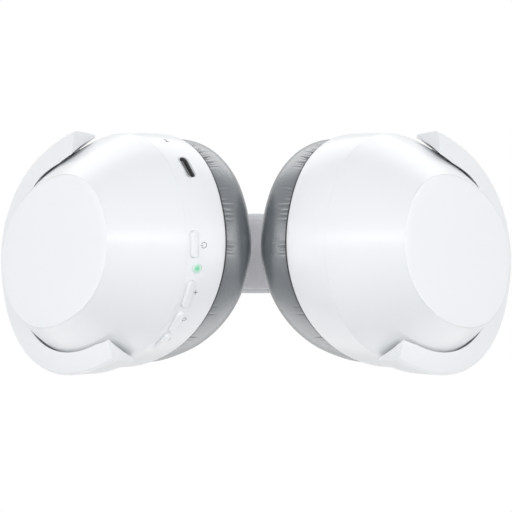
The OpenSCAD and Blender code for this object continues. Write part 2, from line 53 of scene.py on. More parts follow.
class CupSizes(PropertyGroup):
    """Sizes of the oval cups"""

    half_width: FloatProperty(
        name="Half Width", description="Half of the rim's width, front to back", default=37.6 * MM, unit="LENGTH"
    )
    half_height: FloatProperty(
        name="Half Height", description="Half of the rim's height", default=48.4 * MM, unit="LENGTH"
    )
    power: FloatProperty(
        name="Power", description="Fullness of the outline, where 2 is an ellipse", default=2.2, min=2, max=4
    )
    band_depth: FloatProperty(
        name="Band Depth", description="From the rim to the crease", default=13 * MM, unit="LENGTH"
    )
    depth: FloatProperty(
        name="Depth", description="From the rim to the outer disc", default=33 * MM, unit="LENGTH"
    )
    disc_half_width: FloatProperty(
        name="Disc Half Width", description="Half of the outer disc's width", default=23.3 * MM, unit="LENGTH"
    )
    disc_half_height: FloatProperty(
        name="Disc Half Height", description="Half of the outer disc's height", default=32 * MM, unit="LENGTH"
    )
    swell: FloatProperty(
        name="Swell", description="Bulge of the flared shell", default=1.2 * MM, unit="LENGTH"
    )
    wall: FloatProperty(
        name="Wall", description="Thickness of the mouldings", default=2.2 * MM, unit="LENGTH"
    )
    pad_thickness: FloatProperty(
        name="Pad Thickness", description="Height of the ear pad", default=14.2 * MM, unit="LENGTH"
    )
    pad_width: FloatProperty(
        name="Pad Width", description="Width of the padded ring", default=16 * MM, unit="LENGTH"
    )


class BandSizes(PropertyGroup):
    """Sizes of the headband"""

    half_width: FloatProperty(
        name="Half Width", description="Half of the width over the arms", default=94 * MM, unit="LENGTH"
    )
    shoulder_radius: FloatProperty(
        name="Shoulder Radius", description="Outer radius of the shoulder bends", default=60 * MM, unit="LENGTH"
    )
    crown_top: FloatProperty(
        name="Crown Top", description="Height of the shell above the cushion's underside", default=17.5 * MM,
        unit="LENGTH",
    )
    crown_width: FloatProperty(
        name="Crown Width", description="Width of the headband at the crown", default=37 * MM, unit="LENGTH"
    )
    arm_width: FloatProperty(
        name="Arm Width", description="Width of the headband at the arms", default=30 * MM, unit="LENGTH"
    )
    end_level: FloatProperty(
        name="End Level", description="Level of the shell's lower ends", default=-76 * MM, unit="LENGTH"
    )


class Finishes(PropertyGroup):
    """Colours of the headphones"""

    shell: FloatVectorProperty(
        name="Shell", description="Moulded shells", subtype="COLOR", default=(0.84, 0.855, 0.87), min=0, max=1
    )
    pad: FloatVectorProperty(
        name="Pad", description="Ear pads", subtype="COLOR", default=(0.115, 0.132, 0.148), min=0, max=1
    )
    cushion: FloatVectorProperty(
        name="Cushion", description="Headband cushion", subtype="COLOR", default=(0.66, 0.655, 0.69), min=0, max=1
    )
    lamp: FloatVectorProperty(
        name="Lamp", description="Indicator lamp", subtype="COLOR", default=(0.20, 0.70, 0.42), min=0, max=1
    )
    print: FloatVectorProperty(
        name="Print", description="Printed signs", subtype="COLOR", default=(0.19, 0.20, 0.21), min=0, max=1
    )


class StageSettings(PropertyGroup):
    """Camera and floor"""

    camera_height: FloatProperty(
        name="Camera Height", description="Level of the camera below the crown", default=-0.55, unit="LENGTH"
    )
    camera_back: FloatProperty(
        name="Camera Back", description="Distance of the camera behind the crown", default=1.2 * MM, unit="LENGTH"
    )
    lens: FloatProperty(name="Lens", description="Focal length in millimetres", default=85)
    floor_level: FloatProperty(
        name="Floor Level", description="Level of the floor under the headphones", default=-0.75, unit="LENGTH"
    )
    settle_frames: IntProperty(
        name="Settle Frames", description="Frames for which the padding swells", default=20, min=2, max=60
    )


def scene_sizes():
    """The property groups of the open scene."""
    scene = bpy.context.scene
    return scene.headphone_cup, scene.headphone_band, scene.headphone_finish, scene.headphone_stage


# The right cup's own frame: x to the back, y down the cup, z outwards from the rim
TILT = math.radians(41)
LEAN = math.radians(16.75)
CUP = Matrix((
    (math.sin(LEAN) * math.sin(TILT), math.cos(LEAN) * math.sin(TILT), -math.cos(TILT), -40.8 * MM),
    (math.cos(LEAN), -math.sin(LEAN), 0, 0),
    (-math.sin(LEAN) * math.cos(TILT), -math.cos(LEAN) * math.cos(TILT), -math.sin(TILT), -140 * MM),
    (0, 0, 0, 1),
))


def rounded(value, power):
    """Power of a value, with the value's sign."""
    return math.copysign(abs(value) ** power, value)


def full(value):
    """Share of a half size of the cup's outline at a sine or cosine round it."""
    return rounded(value, 2 / scene_sizes()[0].power)


def band_oval(w):
    """Half width and half height of the cup's band at a distance w from the rim."""
    cup = scene_sizes()[0]
    share = (max(w, 0) / cup.band_depth) ** 2
    return cup.half_width - 0.2 * MM * share, cup.half_height - 2.9 * MM * share


def flare_oval(w):
    """Half width and half height of the flared shell at a distance w from the rim."""
    cup = scene_sizes()[0]
    a, b = band_oval(cup.band_depth)
    share = (w - cup.band_depth) / (cup.depth - cup.band_depth)
    swell = cup.swell * 4 * share * (1 - share)
    return a + (cup.disc_half_width - a) * share + swell, b + (cup.disc_half_height - b) * share + swell


def on_band(angle, w):
    """Frame on the band: x round the rim, y outwards from the rim, z along the surface's normal."""
    a, b = band_oval(w)
    turn = math.radians(angle)
    share = 2 - 2 / scene_sizes()[0].power
    normal = Vector((rounded(math.sin(turn), share) / a, rounded(math.cos(turn), share) / b, 0)).normalized()
    side = Vector((-normal.y, normal.x, 0))
    out = Matrix.Identity(4)
    out.col[0] = (*side, 0)
    out.col[1] = (0, 0, 1, 0)
    out.col[2] = (*normal, 0)
    out.col[3] = (a * full(math.sin(turn)), b * full(math.cos(turn)), w, 1)
    return out


def on_slope(angle, w, along, out):
    """Frame that lies flat on the band, moved round the rim and outwards from it over the surface."""
    step = 0.05 * MM
    turn = angle - along / (on_band(angle - 0.5, w).translation - on_band(angle + 0.5, w).translation).length
    rise = (on_band(turn, w + step).translation - on_band(turn, w - step).translation).normalized()
    lie = on_band(turn, w + out * rise.z)
    normal = lie.col[0].xyz.cross(rise).normalized()
    lie.col[1] = (*rise, 0)
    lie.col[2] = (*normal, 0)
    return lie


CROWN_TURN = math.radians(45)


def band_path():
    """Radius and centre level of the crown arc, and the centre of the shoulder arc."""
    band = scene_sizes()[1]
    reach = band.half_width - band.shoulder_radius
    radius = band.shoulder_radius + reach / math.sin(CROWN_TURN)
    level = band.crown_top - radius
    return radius, level, reach, level + (radius - band.shoulder_radius) * math.cos(CROWN_TURN)


def band_half_width(turn):
    """Half width of the headband where its path has turned this far from level."""
    band = scene_sizes()[1]
    return band.arm_width / 2 + (band.crown_width - band.arm_width) / 2 * max(0, math.cos(turn)) ** 0.7


def band_point(length, depth, across):
    """Point at an arc length from the crown, below the outside, and off the middle by a share of the width."""
    band = scene_sizes()[1]
    radius, level, reach, shoulder = band_path()
    side = math.copysign(1, length)
    crown = radius * CROWN_TURN
    if abs(length) < crown:
        turn, centre = abs(length) / radius, (0, level)
    else:
        turn = CROWN_TURN + (abs(length) - crown) / band.shoulder_radius
        radius, centre = band.shoulder_radius, (reach, shoulder)
    return Vector((
        side * (centre[0] + (radius - depth) * math.sin(turn)),
        across * band_half_width(turn),
        centre[1] + (radius - depth) * math.cos(turn),
    ))


# Modelling


def added(name):
    """Names the primitive that was just added."""
    piece = bpy.context.object
    piece.name = name
    piece.data.name = name
    return piece


def only(piece):
    """Makes this the one selected, active object."""
    bpy.ops.object.select_all(action="DESELECT")
    piece.select_set(True)
    bpy.context.view_layer.objects.active = piece


def edit(piece):
    only(piece)
    bpy.ops.object.mode_set(mode="EDIT")


def object_mode():
    bpy.ops.object.mode_set(mode="OBJECT")


def select_where(piece, kind, test):
    """Selects the vertices, edges or faces of the edited mesh that pass a test."""
    mesh = bmesh.from_edit_mesh(piece.data)
    bpy.ops.mesh.select_mode(type={"verts": "VERT", "edges": "EDGE", "faces": "FACE"}[kind])
    bpy.ops.mesh.select_all(action="DESELECT")
    for part in getattr(mesh, kind):
        part.select_set(bool(test(part)))
    mesh.select_flush_mode()
    bmesh.update_edit_mesh(piece.data)


def apply(piece, kind, **settings):
    """Adds a modifier and applies it at once."""
    only(piece)
    modifier = piece.modifiers.new(kind.title(), kind)
    for key, value in settings.items():
        setattr(modifier, key, value)
    bpy.ops.object.modifier_apply(modifier=modifier.name)


def place(piece, matrix):
    """Moves a piece from its own frame into the shared one, and leaves its object at the origin."""
    only(piece)
    piece.matrix_world = matrix
    bpy.ops.object.transform_apply(location=True, rotation=True, scale=True)


def face_outwards(piece):
    """Turns a closed mesh the right way round."""
    mesh = bmesh.new()
    mesh.from_mesh(piece.data)
    inside_out = mesh.calc_volume(signed=True) < 0
    mesh.free()
    if inside_out:
        edit(piece)
        bpy.ops.mesh.select_all(action="SELECT")
        bpy.ops.mesh.flip_normals()
        object_mode()


def mirrored(piece, name):
    """A copy with its own mesh on the other side of the head."""
    only(piece)
    bpy.ops.object.duplicate()
    twin = added(name)
    bpy.ops.transform.mirror(constraint_axis=(True, False, False), center_override=(0, 0, 0))
    bpy.ops.object.transform_apply(location=True, rotation=True, scale=True)
    face_outwards(twin)
    return twin


def smooth(piece, degrees=35):
    only(piece)
    bpy.ops.object.shade_smooth_by_angle(angle=math.radians(degrees))


def oval_rings(name, rings, sides=192, closed=True):
    """Circle extruded ring by ring. A ring is (half width, half height, distance from the rim)."""
    bpy.ops.object.select_all(action="DESELECT")
    a, b, w = rings[0]
    bpy.ops.mesh.primitive_circle_add(vertices=sides, radius=1)
    piece = added(name)
    for vertex in piece.data.vertices:
        vertex.co = full(vertex.co.x), full(vertex.co.y), 0
    edit(piece)
    bpy.ops.mesh.select_mode(type="EDGE")
    bpy.ops.mesh.select_all(action="SELECT")
    bpy.ops.transform.resize(value=(a, b, 1), center_override=(0, 0, 0))
    bpy.ops.transform.translate(value=(0, 0, w))
    for next_a, next_b, next_w in rings[1:]:
        bpy.ops.mesh.extrude_edges_move()
        bpy.ops.transform.resize(value=(next_a / a, next_b / b, 1), center_override=(0, 0, w))
        bpy.ops.transform.translate(value=(0, 0, next_w - w))
        a, b, w = next_a, next_b, next_w
    select_where(piece, "edges", lambda edge: edge.is_boundary)
    if closed:
        bpy.ops.mesh.bridge_edge_loops()
    else:
        bpy.ops.mesh.fill_holes(sides=0)
    bpy.ops.mesh.select_all(action="SELECT")
    bpy.ops.mesh.normals_make_consistent(inside=False)
    object_mode()
    return piece


def corner(start, end, radius, steps=4):
    """Points of a quarter round between two directions, as (outwards, along) shares of the radius."""
    return [
        (
            radius * (1 - math.sin(math.radians(start + (end - start) * i / steps))),
            radius * (1 - math.cos(math.radians(start + (end - start) * i / steps))),
        )
        for i in range(steps + 1)
    ]


def bar(name, length, width, low, high, edge=0.0):
    """Bar with round ends, long in x, from low to high in z, with its top edge rounded."""
    bpy.ops.object.select_all(action="DESELECT")
    bpy.ops.mesh.primitive_circle_add(vertices=40, radius=width / 2, fill_type="NGON")
    piece = added(name)
    edit(piece)
    for side in (1, -1):
        select_where(piece, "verts", lambda vert: vert.co.x * side > -1e-7)
        bpy.ops.transform.translate(value=(side * (length - width) / 2, 0, 0))
    bpy.ops.mesh.select_mode(type="FACE")
    bpy.ops.mesh.select_all(action="SELECT")
    bpy.ops.transform.translate(value=(0, 0, low))
    bpy.ops.mesh.extrude_region_move(TRANSFORM_OT_translate={"value": (0, 0, high - low)})
    if edge:
        bpy.ops.mesh.region_to_loop()
        bpy.ops.mesh.bevel(offset=edge, segments=4)
    bpy.ops.mesh.select_all(action="SELECT")
    bpy.ops.mesh.normals_make_consistent(inside=False)
    object_mode()
    return piece


def outline(name, points, closed=True):
    """A chain of edges through the points, to be spun or extruded."""
    mesh = bpy.data.meshes.new(name)
    edges = [(i, i + 1) for i in range(len(points) - 1)]
    if closed:
        edges.append((len(points) - 1, 0))
    mesh.from_pydata(points, edges, [])
    piece = bpy.data.objects.new(name, mesh)
    bpy.context.scene.collection.objects.link(piece)
    return piece


def combine(piece, other, operation="DIFFERENCE"):
    """Cuts one piece with another, or joins or crosses them, and removes the other."""
    apply(piece, "BOOLEAN", operation=operation, object=other, solver="EXACT")
    bpy.data.objects.remove(other)
    edit(piece)
    bpy.ops.mesh.select_all(action="SELECT")
    bpy.ops.mesh.remove_doubles(threshold=2e-6)
    bpy.ops.mesh.dissolve_degenerate(threshold=2e-6)
    bpy.ops.mesh.delete_loose()
    object_mode()


def join(name, pieces):
    only(pieces[0])
    for piece in pieces:
        piece.select_set(True)
    bpy.ops.object.join()
    return added(name)


def copy_of(node, name):
    """Merged copy of a frame solid, as the start of a piece."""
    piece = bpy.data.objects.new(name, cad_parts[node].data.copy())
    bpy.context.scene.collection.objects.link(piece)
    piece.data.name = name
    piece.data.materials.clear()
    edit(piece)
    bpy.ops.mesh.select_all(action="SELECT")
    bpy.ops.mesh.remove_doubles(threshold=1e-6)
    bpy.ops.mesh.dissolve_limited(angle_limit=math.radians(0.6))
    object_mode()
    return piece


def finish_piece(piece, body, material, slot, *nodes):
    """Gives a piece its finish and puts it on the body that carries it."""
    piece.data.materials.clear()
    piece.data.materials.append(material)
    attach(piece, body)
    if nodes:
        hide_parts(*nodes)


# Finishes


def finish(name, colour, roughness):
    """A new material with its shader, and a function that adds linked nodes to it."""
    material = bpy.data.materials.new(name)
    material.use_nodes = True
    tree = material.node_tree
    surface = tree.nodes["Principled BSDF"]
    surface.inputs["Base Color"].default_value = (*colour, 1)
    surface.inputs["Roughness"].default_value = roughness

    def node(kind, settings=None, **links):
        made = tree.nodes.new("ShaderNode" + kind)
        for key, value in (settings or {}).items():
            if key in made.inputs:
                made.inputs[key].default_value = value
            else:
                setattr(made, key, value)
        for key, source in links.items():
            tree.links.new(source, made.inputs[key.replace("_", " ")])
        return made

    place_node = node("TexCoord")
    return material, surface, node, place_node.outputs["Object"], tree


def tone_ramp(node, source, low, high, dark, light):
    """Colour ramp between two colours over part of a source's range."""
    ramp = node("ValToRGB", Fac=source)
    ramp.color_ramp.elements[0].position = low
    ramp.color_ramp.elements[0].color = (*dark, 1)
    ramp.color_ramp.elements[1].position = high
    ramp.color_ramp.elements[1].color = (*light, 1)
    return ramp.outputs["Color"]


def scaled(colour, factor):
    return tuple(min(1.0, c * factor) for c in colour)


def moulded(name, colour, roughness, grain=0.006):
    """Moulded plastic: a faint mottle, an uneven gloss and a fine moulding texture."""
    material, surface, node, here, tree = finish(name, colour, roughness)
    mottle = node("TexNoise", {"Scale": 700.0, "Detail": 3.0}, Vector=here)
    tone = tone_ramp(node, mottle.outputs["Fac"], 0.2, 0.8, scaled(colour, 0.996), scaled(colour, 1.0))
    tree.links.new(tone, surface.inputs["Base Color"])
    gloss = node(
        "MapRange", {"From Min": 0.3, "From Max": 0.7, "To Min": roughness - 0.005, "To Max": roughness + 0.01},
        Value=mottle.outputs["Fac"],
    )
    tree.links.new(gloss.outputs["Result"], surface.inputs["Roughness"])
    fine = node("TexNoise", {"Scale": 2600.0, "Detail": 2.0}, Vector=here)
    bump = node("Bump", {"Strength": grain, "Distance": 0.0002}, Height=fine.outputs["Fac"])
    tree.links.new(bump.outputs["Normal"], surface.inputs["Normal"])
    return material


def leatherette(name, colour, roughness, shine, grain):
    """Protein leatherette: small cells with creases between them, a slow change of tone, and painted shade in the
    pad's gathered creases.
    """
    material, surface, node, here, tree = finish(name, colour, roughness)
    wander = node("TexNoise", {"Scale": 380.0, "Detail": 2.0}, Vector=here)
    cells = node("TexVoronoi", {"feature": "DISTANCE_TO_EDGE", "Scale": 1150.0, "Randomness": 0.95}, Vector=here)
    crease = node(
        "MapRange", {"From Min": 0.0, "From Max": 0.16, "To Min": 0.0, "To Max": 1.0},
        Value=cells.outputs["Distance"],
    )
    drift = node("TexNoise", {"Scale": 60.0, "Detail": 4.0}, Vector=here)
    tone = tone_ramp(node, drift.outputs["Fac"], 0.3, 0.7, scaled(colour, 0.93), scaled(colour, 1.06))
    shade = node("Mix", {"data_type": "RGBA", "blend_type": "MULTIPLY", "Factor": 0.14})
    tree.links.new(tone, shade.inputs["A"])
    dark = tone_ramp(node, crease.outputs["Result"], 0.0, 0.7, (0.35, 0.35, 0.36), (1, 1, 1))
    tree.links.new(dark, shade.inputs["B"])
    # Painted shade: the pad's crease attribute darkens its colour down to half in the gathered creases at the rim
    gathered = node("Attribute", {"attribute_name": "crease"})
    crease_shade = node("Mix", {"data_type": "RGBA", "blend_type": "MULTIPLY", "Factor": 1.0})
    tree.links.new(shade.outputs["Result"], crease_shade.inputs["A"])
    tree.links.new(tone_ramp(node, gathered.outputs["Fac"], 0.1, 1.0, (1, 1, 1), (0.5, 0.5, 0.5)), crease_shade.inputs["B"])
    tree.links.new(crease_shade.outputs["Result"], surface.inputs["Base Color"])
    height = node("Math", {"operation": "MULTIPLY_ADD"})
    height.inputs[1].default_value = 0.75
    tree.links.new(crease.outputs["Result"], height.inputs[0])
    tree.links.new(wander.outputs["Fac"], height.inputs[2])
    bump = node("Bump", {"Strength": grain, "Distance": 0.00025}, Height=height.outputs["Value"])
    tree.links.new(bump.outputs["Normal"], surface.inputs["Normal"])
    surface.inputs["IOR"].default_value = shine
    surface.inputs["Sheen Weight"].default_value = 0.12
    surface.inputs["Sheen Roughness"].default_value = 0.5
    return material


def woven(name, colour):
    """Fine acoustic cloth: crossing threads with dark gaps."""
    material, surface, node, here, tree = finish(name, colour, 0.9)
    waves = []
    for turn in (0.0, math.pi / 2):
        lie = node("Mapping", {"Rotation": (0, 0, turn)}, Vector=here)
        wave = node("TexWave", {"Scale": 330.0, "Distortion": 0.4, "Detail": 1.0}, Vector=lie.outputs["Vector"])
        waves.append(wave.outputs["Fac"])
    cross = node("Math", {"operation": "MULTIPLY"})
    tree.links.new(waves[0], cross.inputs[0])
    tree.links.new(waves[1], cross.inputs[1])
    tone = tone_ramp(node, cross.outputs["Value"], 0.05, 0.6, scaled(colour, 0.25), scaled(colour, 1.3))
    tree.links.new(tone, surface.inputs["Base Color"])
    bump = node("Bump", {"Strength": 0.5, "Distance": 0.0002}, Height=cross.outputs["Value"])
    tree.links.new(bump.outputs["Normal"], surface.inputs["Normal"])
    return material


def drawn_metal(name, colour, roughness=0.32):
    """Drawn or turned metal with fine lines."""
    material, surface, node, here, tree = finish(name, colour, roughness)
    surface.inputs["Metallic"].default_value = 1.0
    lie = node("Mapping", {"Scale": (40, 40, 4000)}, Vector=here)
    lines = node("TexNoise", {"Scale": 1.0, "Detail": 4.0}, Vector=lie.outputs["Vector"])
    tone = tone_ramp(node, lines.outputs["Fac"], 0.3, 0.7, scaled(colour, 0.8), scaled(colour, 1.05))
    tree.links.new(tone, surface.inputs["Base Color"])
    gloss = node(
        "MapRange", {"From Min": 0.3, "From Max": 0.7, "To Min": roughness - 0.06, "To Max": roughness + 0.1},
        Value=lines.outputs["Fac"],
    )
    tree.links.new(gloss.outputs["Result"], surface.inputs["Roughness"])
    return material


def circuit(name, colour):
    """Solder mask over copper tracks."""
    material, surface, node, here, tree = finish(name, colour, 0.4)
    tracks = node("TexBrick", {"Scale": 420.0, "Mortar Size": 0.03}, Vector=here)
    tracks.inputs["Color1"].default_value = (*colour, 1)
    tracks.inputs["Color2"].default_value = (*scaled(colour, 0.8), 1)
    tracks.inputs["Mortar"].default_value = (*scaled(colour, 1.8), 1)
    tree.links.new(tracks.outputs["Color"], surface.inputs["Base Color"])
    return material


def lamp_lens(name, colour):
    """Light guide, green in the middle where the lamp shines through, and milky at its edge."""
    material, surface, node, here, tree = finish(name, colour, 0.25)
    away = node("VectorMath", {"operation": "DISTANCE"}, Vector=here)
    away.inputs[1].default_value = (CUP @ on_band(LAMP[0], LAMP[1])).translation
    share = node("MapRange", {"From Min": 0.0, "From Max": LAMP[2] / 2}, Value=away.outputs["Value"])
    tone = tone_ramp(node, share.outputs["Result"], 0.2, 1.0, colour, (0.74, 0.86, 0.81))
    tree.links.new(tone, surface.inputs["Base Color"])
    return material


FINISHES = {}


def make_finishes():
    """All finishes, by name."""
    colours = scene_sizes()[2]
    shell = tuple(colours.shell)
    FINISHES.update({
        "shell": moulded("moulded_white", shell, 0.285),
        # Painted light: the disc's white is the shell's white made 3% lighter, so that the outer discs read brighter
        # than the shells
        "disc": moulded("disc_white", scaled(shell, 1.03), 0.28, grain=0.01),
        "pad": leatherette("pad_leatherette", tuple(colours.pad), 0.26, 2.1, 0.1),
        "cushion": leatherette("cushion_leatherette", tuple(colours.cushion), 0.52, 1.5, 0.2),
        "dark": moulded("dark_moulding", (0.022, 0.024, 0.026), 0.5, grain=0.15),
        "film": moulded("cone_film", (0.32, 0.32, 0.34), 0.4),
        "scrim": woven("scrim_cloth", (0.035, 0.037, 0.04)),
        "steel": drawn_metal("drawn_steel", (0.55, 0.56, 0.58)),
        "brass": drawn_metal("turned_brass", (0.60, 0.42, 0.16), 0.28),
        "board": circuit("solder_mask", (0.012, 0.09, 0.04)),
        "cell": moulded("cell_pouch", (0.36, 0.36, 0.39), 0.3, grain=0.3),
        "lamp": lamp_lens("lamp_lens", tuple(colours.lamp)),
        "tongue": moulded("socket_tongue", (0.12, 0.12, 0.125), 0.5),
        "print": moulded("printed_grey", tuple(colours.print), 0.6),
        "plug": drawn_metal("socket_metal", (0.42, 0.42, 0.44), 0.45),
    })


class HEADPHONES_OT_cup_bands(Operator):
    """Smooth rim bands of both cups, with openings for the controls in the right one"""

    bl_idname = "headphones.cup_bands"
    bl_label = "Cup Bands"

    def execute(self, context):
        cup = scene_sizes()[0]
        a, b = cup.half_width, cup.half_height
        end = cup.band_depth
        end_a, end_b = band_oval(end)
        rings = [(a - cup.wall, b - cup.wall, 0.6 * MM)]
        rings += [(a - out, b - out, along) for out, along in corner(0, 90, 0.4 * MM)]
        rings += [(*band_oval(w * MM), w * MM) for w in (1.5, 3, 5, 7, 9, 11, 12, 12.6)]
        rings += [(end_a - 0.02 * MM, end_b - 0.02 * MM, end - 0.02 * MM), (end_a - 0.07 * MM, end_b - 0.07 * MM, end)]
        rings += [(end_a - cup.wall, end_b - cup.wall, end)]
        right = oval_rings("band_right", rings)
        place(right, CUP)
        left = mirrored(right, "band_left")
        for name, angle, w, length, width in OPENINGS:
            cutter = bar(name, length, width, -6 * MM, 3 * MM)
            place(cutter, CUP @ on_band(angle, w))
            combine(right, cutter)
        for piece, body, node in ((right, "right_cup", "cup_band_r"), (left, "left_cup", "cup_band_l")):
            smooth(piece)
            finish_piece(piece, body, FINISHES["shell"], "shell_white", node)
        return {"FINISHED"}


# Keys as (node, body, angle round the rim, distance from the rim, length)
KEYS = (
    ("power_key", "power_button", 15.1, 11 * MM, 8.4 * MM),
    ("louder_key", "louder_button", 38.7, 10.5 * MM, 9.2 * MM),
    ("call_key", "call_button", 54.2, 10.2 * MM, 8.4 * MM),
    ("quieter_key", "quieter_button", 67.6, 9.8 * MM, 7.8 * MM),
)
KEY_WIDTH = 2.4 * MM
KEY_CLEAR = 0.05 * MM
USB = (-20.3, 7.8 * MM, 8.9 * MM, 3.2 * MM)
MIC = (-42.5, 7.2 * MM, 2.6 * MM, 0.9 * MM)
LAMP = (26.5, 9.5 * MM, 3.2 * MM)
OPENINGS = tuple(
    (node + "_slot", angle, w, length + 2 * KEY_CLEAR, KEY_WIDTH + 2 * KEY_CLEAR)
    for node, body, angle, w, length in KEYS
) + (
    ("usb_slot", *USB),
    ("mic_slot", *MIC),
    ("lamp_hole", LAMP[0], LAMP[1], LAMP[2] * 1.001, LAMP[2]),
)


class HEADPHONES_OT_outer_shells(Operator):
    """Flared outer shells, with the seat of the disc and holes for the pivot pins"""

    bl_idname = "headphones.outer_shells"
    bl_label = "Outer Shells"

    def execute(self, context):
        cup = scene_sizes()[0]
        first = cup.band_depth
        a, b = band_oval(first)
        disc_a, disc_b = cup.disc_half_width + 0.03 * MM, cup.disc_half_height + 0.03 * MM
        rings = [(a - cup.wall, b - cup.wall, first), (a - 0.08 * MM, b - 0.08 * MM, first)]
        rings += [(*flare_oval(w * MM), w * MM) for w in (13.05, 14, 16, 18, 20, 22, 24, 26, 28, 30, 31.5, 32.5, 32.9)]
        rings += [(disc_a + 0.03 * MM, disc_b + 0.03 * MM, cup.depth - 0.02 * MM)]
        rings += [(disc_a, disc_b, cup.depth - 0.05 * MM)]
        rings += [(disc_a, disc_b, cup.depth - 2 * MM), (disc_a - 4 * MM, disc_b - 4 * MM, cup.depth - 2 * MM)]
        rings += [(disc_a - 4 * MM, disc_b - 4 * MM, cup.depth - 3.6 * MM)]
        rings += [
            (*(size - cup.wall for size in flare_oval(w * MM)), w * MM) for w in (27, 22, 17)
        ]
        right = oval_rings("flare_right", rings)
        bpy.ops.object.select_all(action="DESELECT")
        bpy.ops.mesh.primitive_cylinder_add(
            vertices=48, radius=2.5 * MM, depth=90 * MM, location=(0, 0, 18 * MM), rotation=(0, math.pi / 2, 0)
        )
        hole = added("pivot_hole")
        combine(right, hole)
        place(right, CUP)
        left = mirrored(right, "flare_left")
        for piece, body, node in ((right, "right_cup", "outer_shell_r"), (left, "left_cup", "outer_shell_l")):
            smooth(piece)
            finish_piece(piece, body, FINISHES["shell"], "shell_white", node)
        return {"FINISHED"}


class HEADPHONES_OT_disc_caps(Operator):
    """Flat outer discs with a fine rounded edge"""

    bl_idname = "headphones.disc_caps"
    bl_label = "Disc Caps"

    def execute(self, context):
        cup = scene_sizes()[0]
        a, b, top = cup.disc_half_width, cup.disc_half_height, cup.depth
        rings = [(a, b, top - 2 * MM), (a, b, top - 0.5 * MM)]
        rings += [(a - along, b - along, top - out) for out, along in corner(0, 90, 0.1 * MM)]
        rings += [(a * share, b * share, top) for share in (0.9, 0.6, 0.3)]
        right = oval_rings("disc_right", rings, closed=False)
        place(right, CUP)
        left = mirrored(right, "disc_left")
        for piece, body, node in ((right, "right_cup", "disc_cap_r"), (left, "left_cup", "disc_cap_l")):
            smooth(piece, 50)
            finish_piece(piece, body, FINISHES["disc"], "disc_white", node)
        return {"FINISHED"}


YOKE_PROUD = 1.4 * MM
YOKE_GAP = 0.5 * MM
YOKE_RISE = 3.5 * MM
TILT_GAP = 0.4 * MM
YOKE_FIRST = 13.9 * MM
YOKE_LAST = 24 * MM
YOKE_TIP = 7.8 * MM
TIP_SLANT = 0.27
PIVOT_AT = 18 * MM
TILT_STEPS = (4, 8, 12)
SWIVEL = Vector((-87 * MM, 8 * MM, -112 * MM))
BARREL_RADIUS = 5.2 * MM
BARREL_HEIGHT = 12 * MM


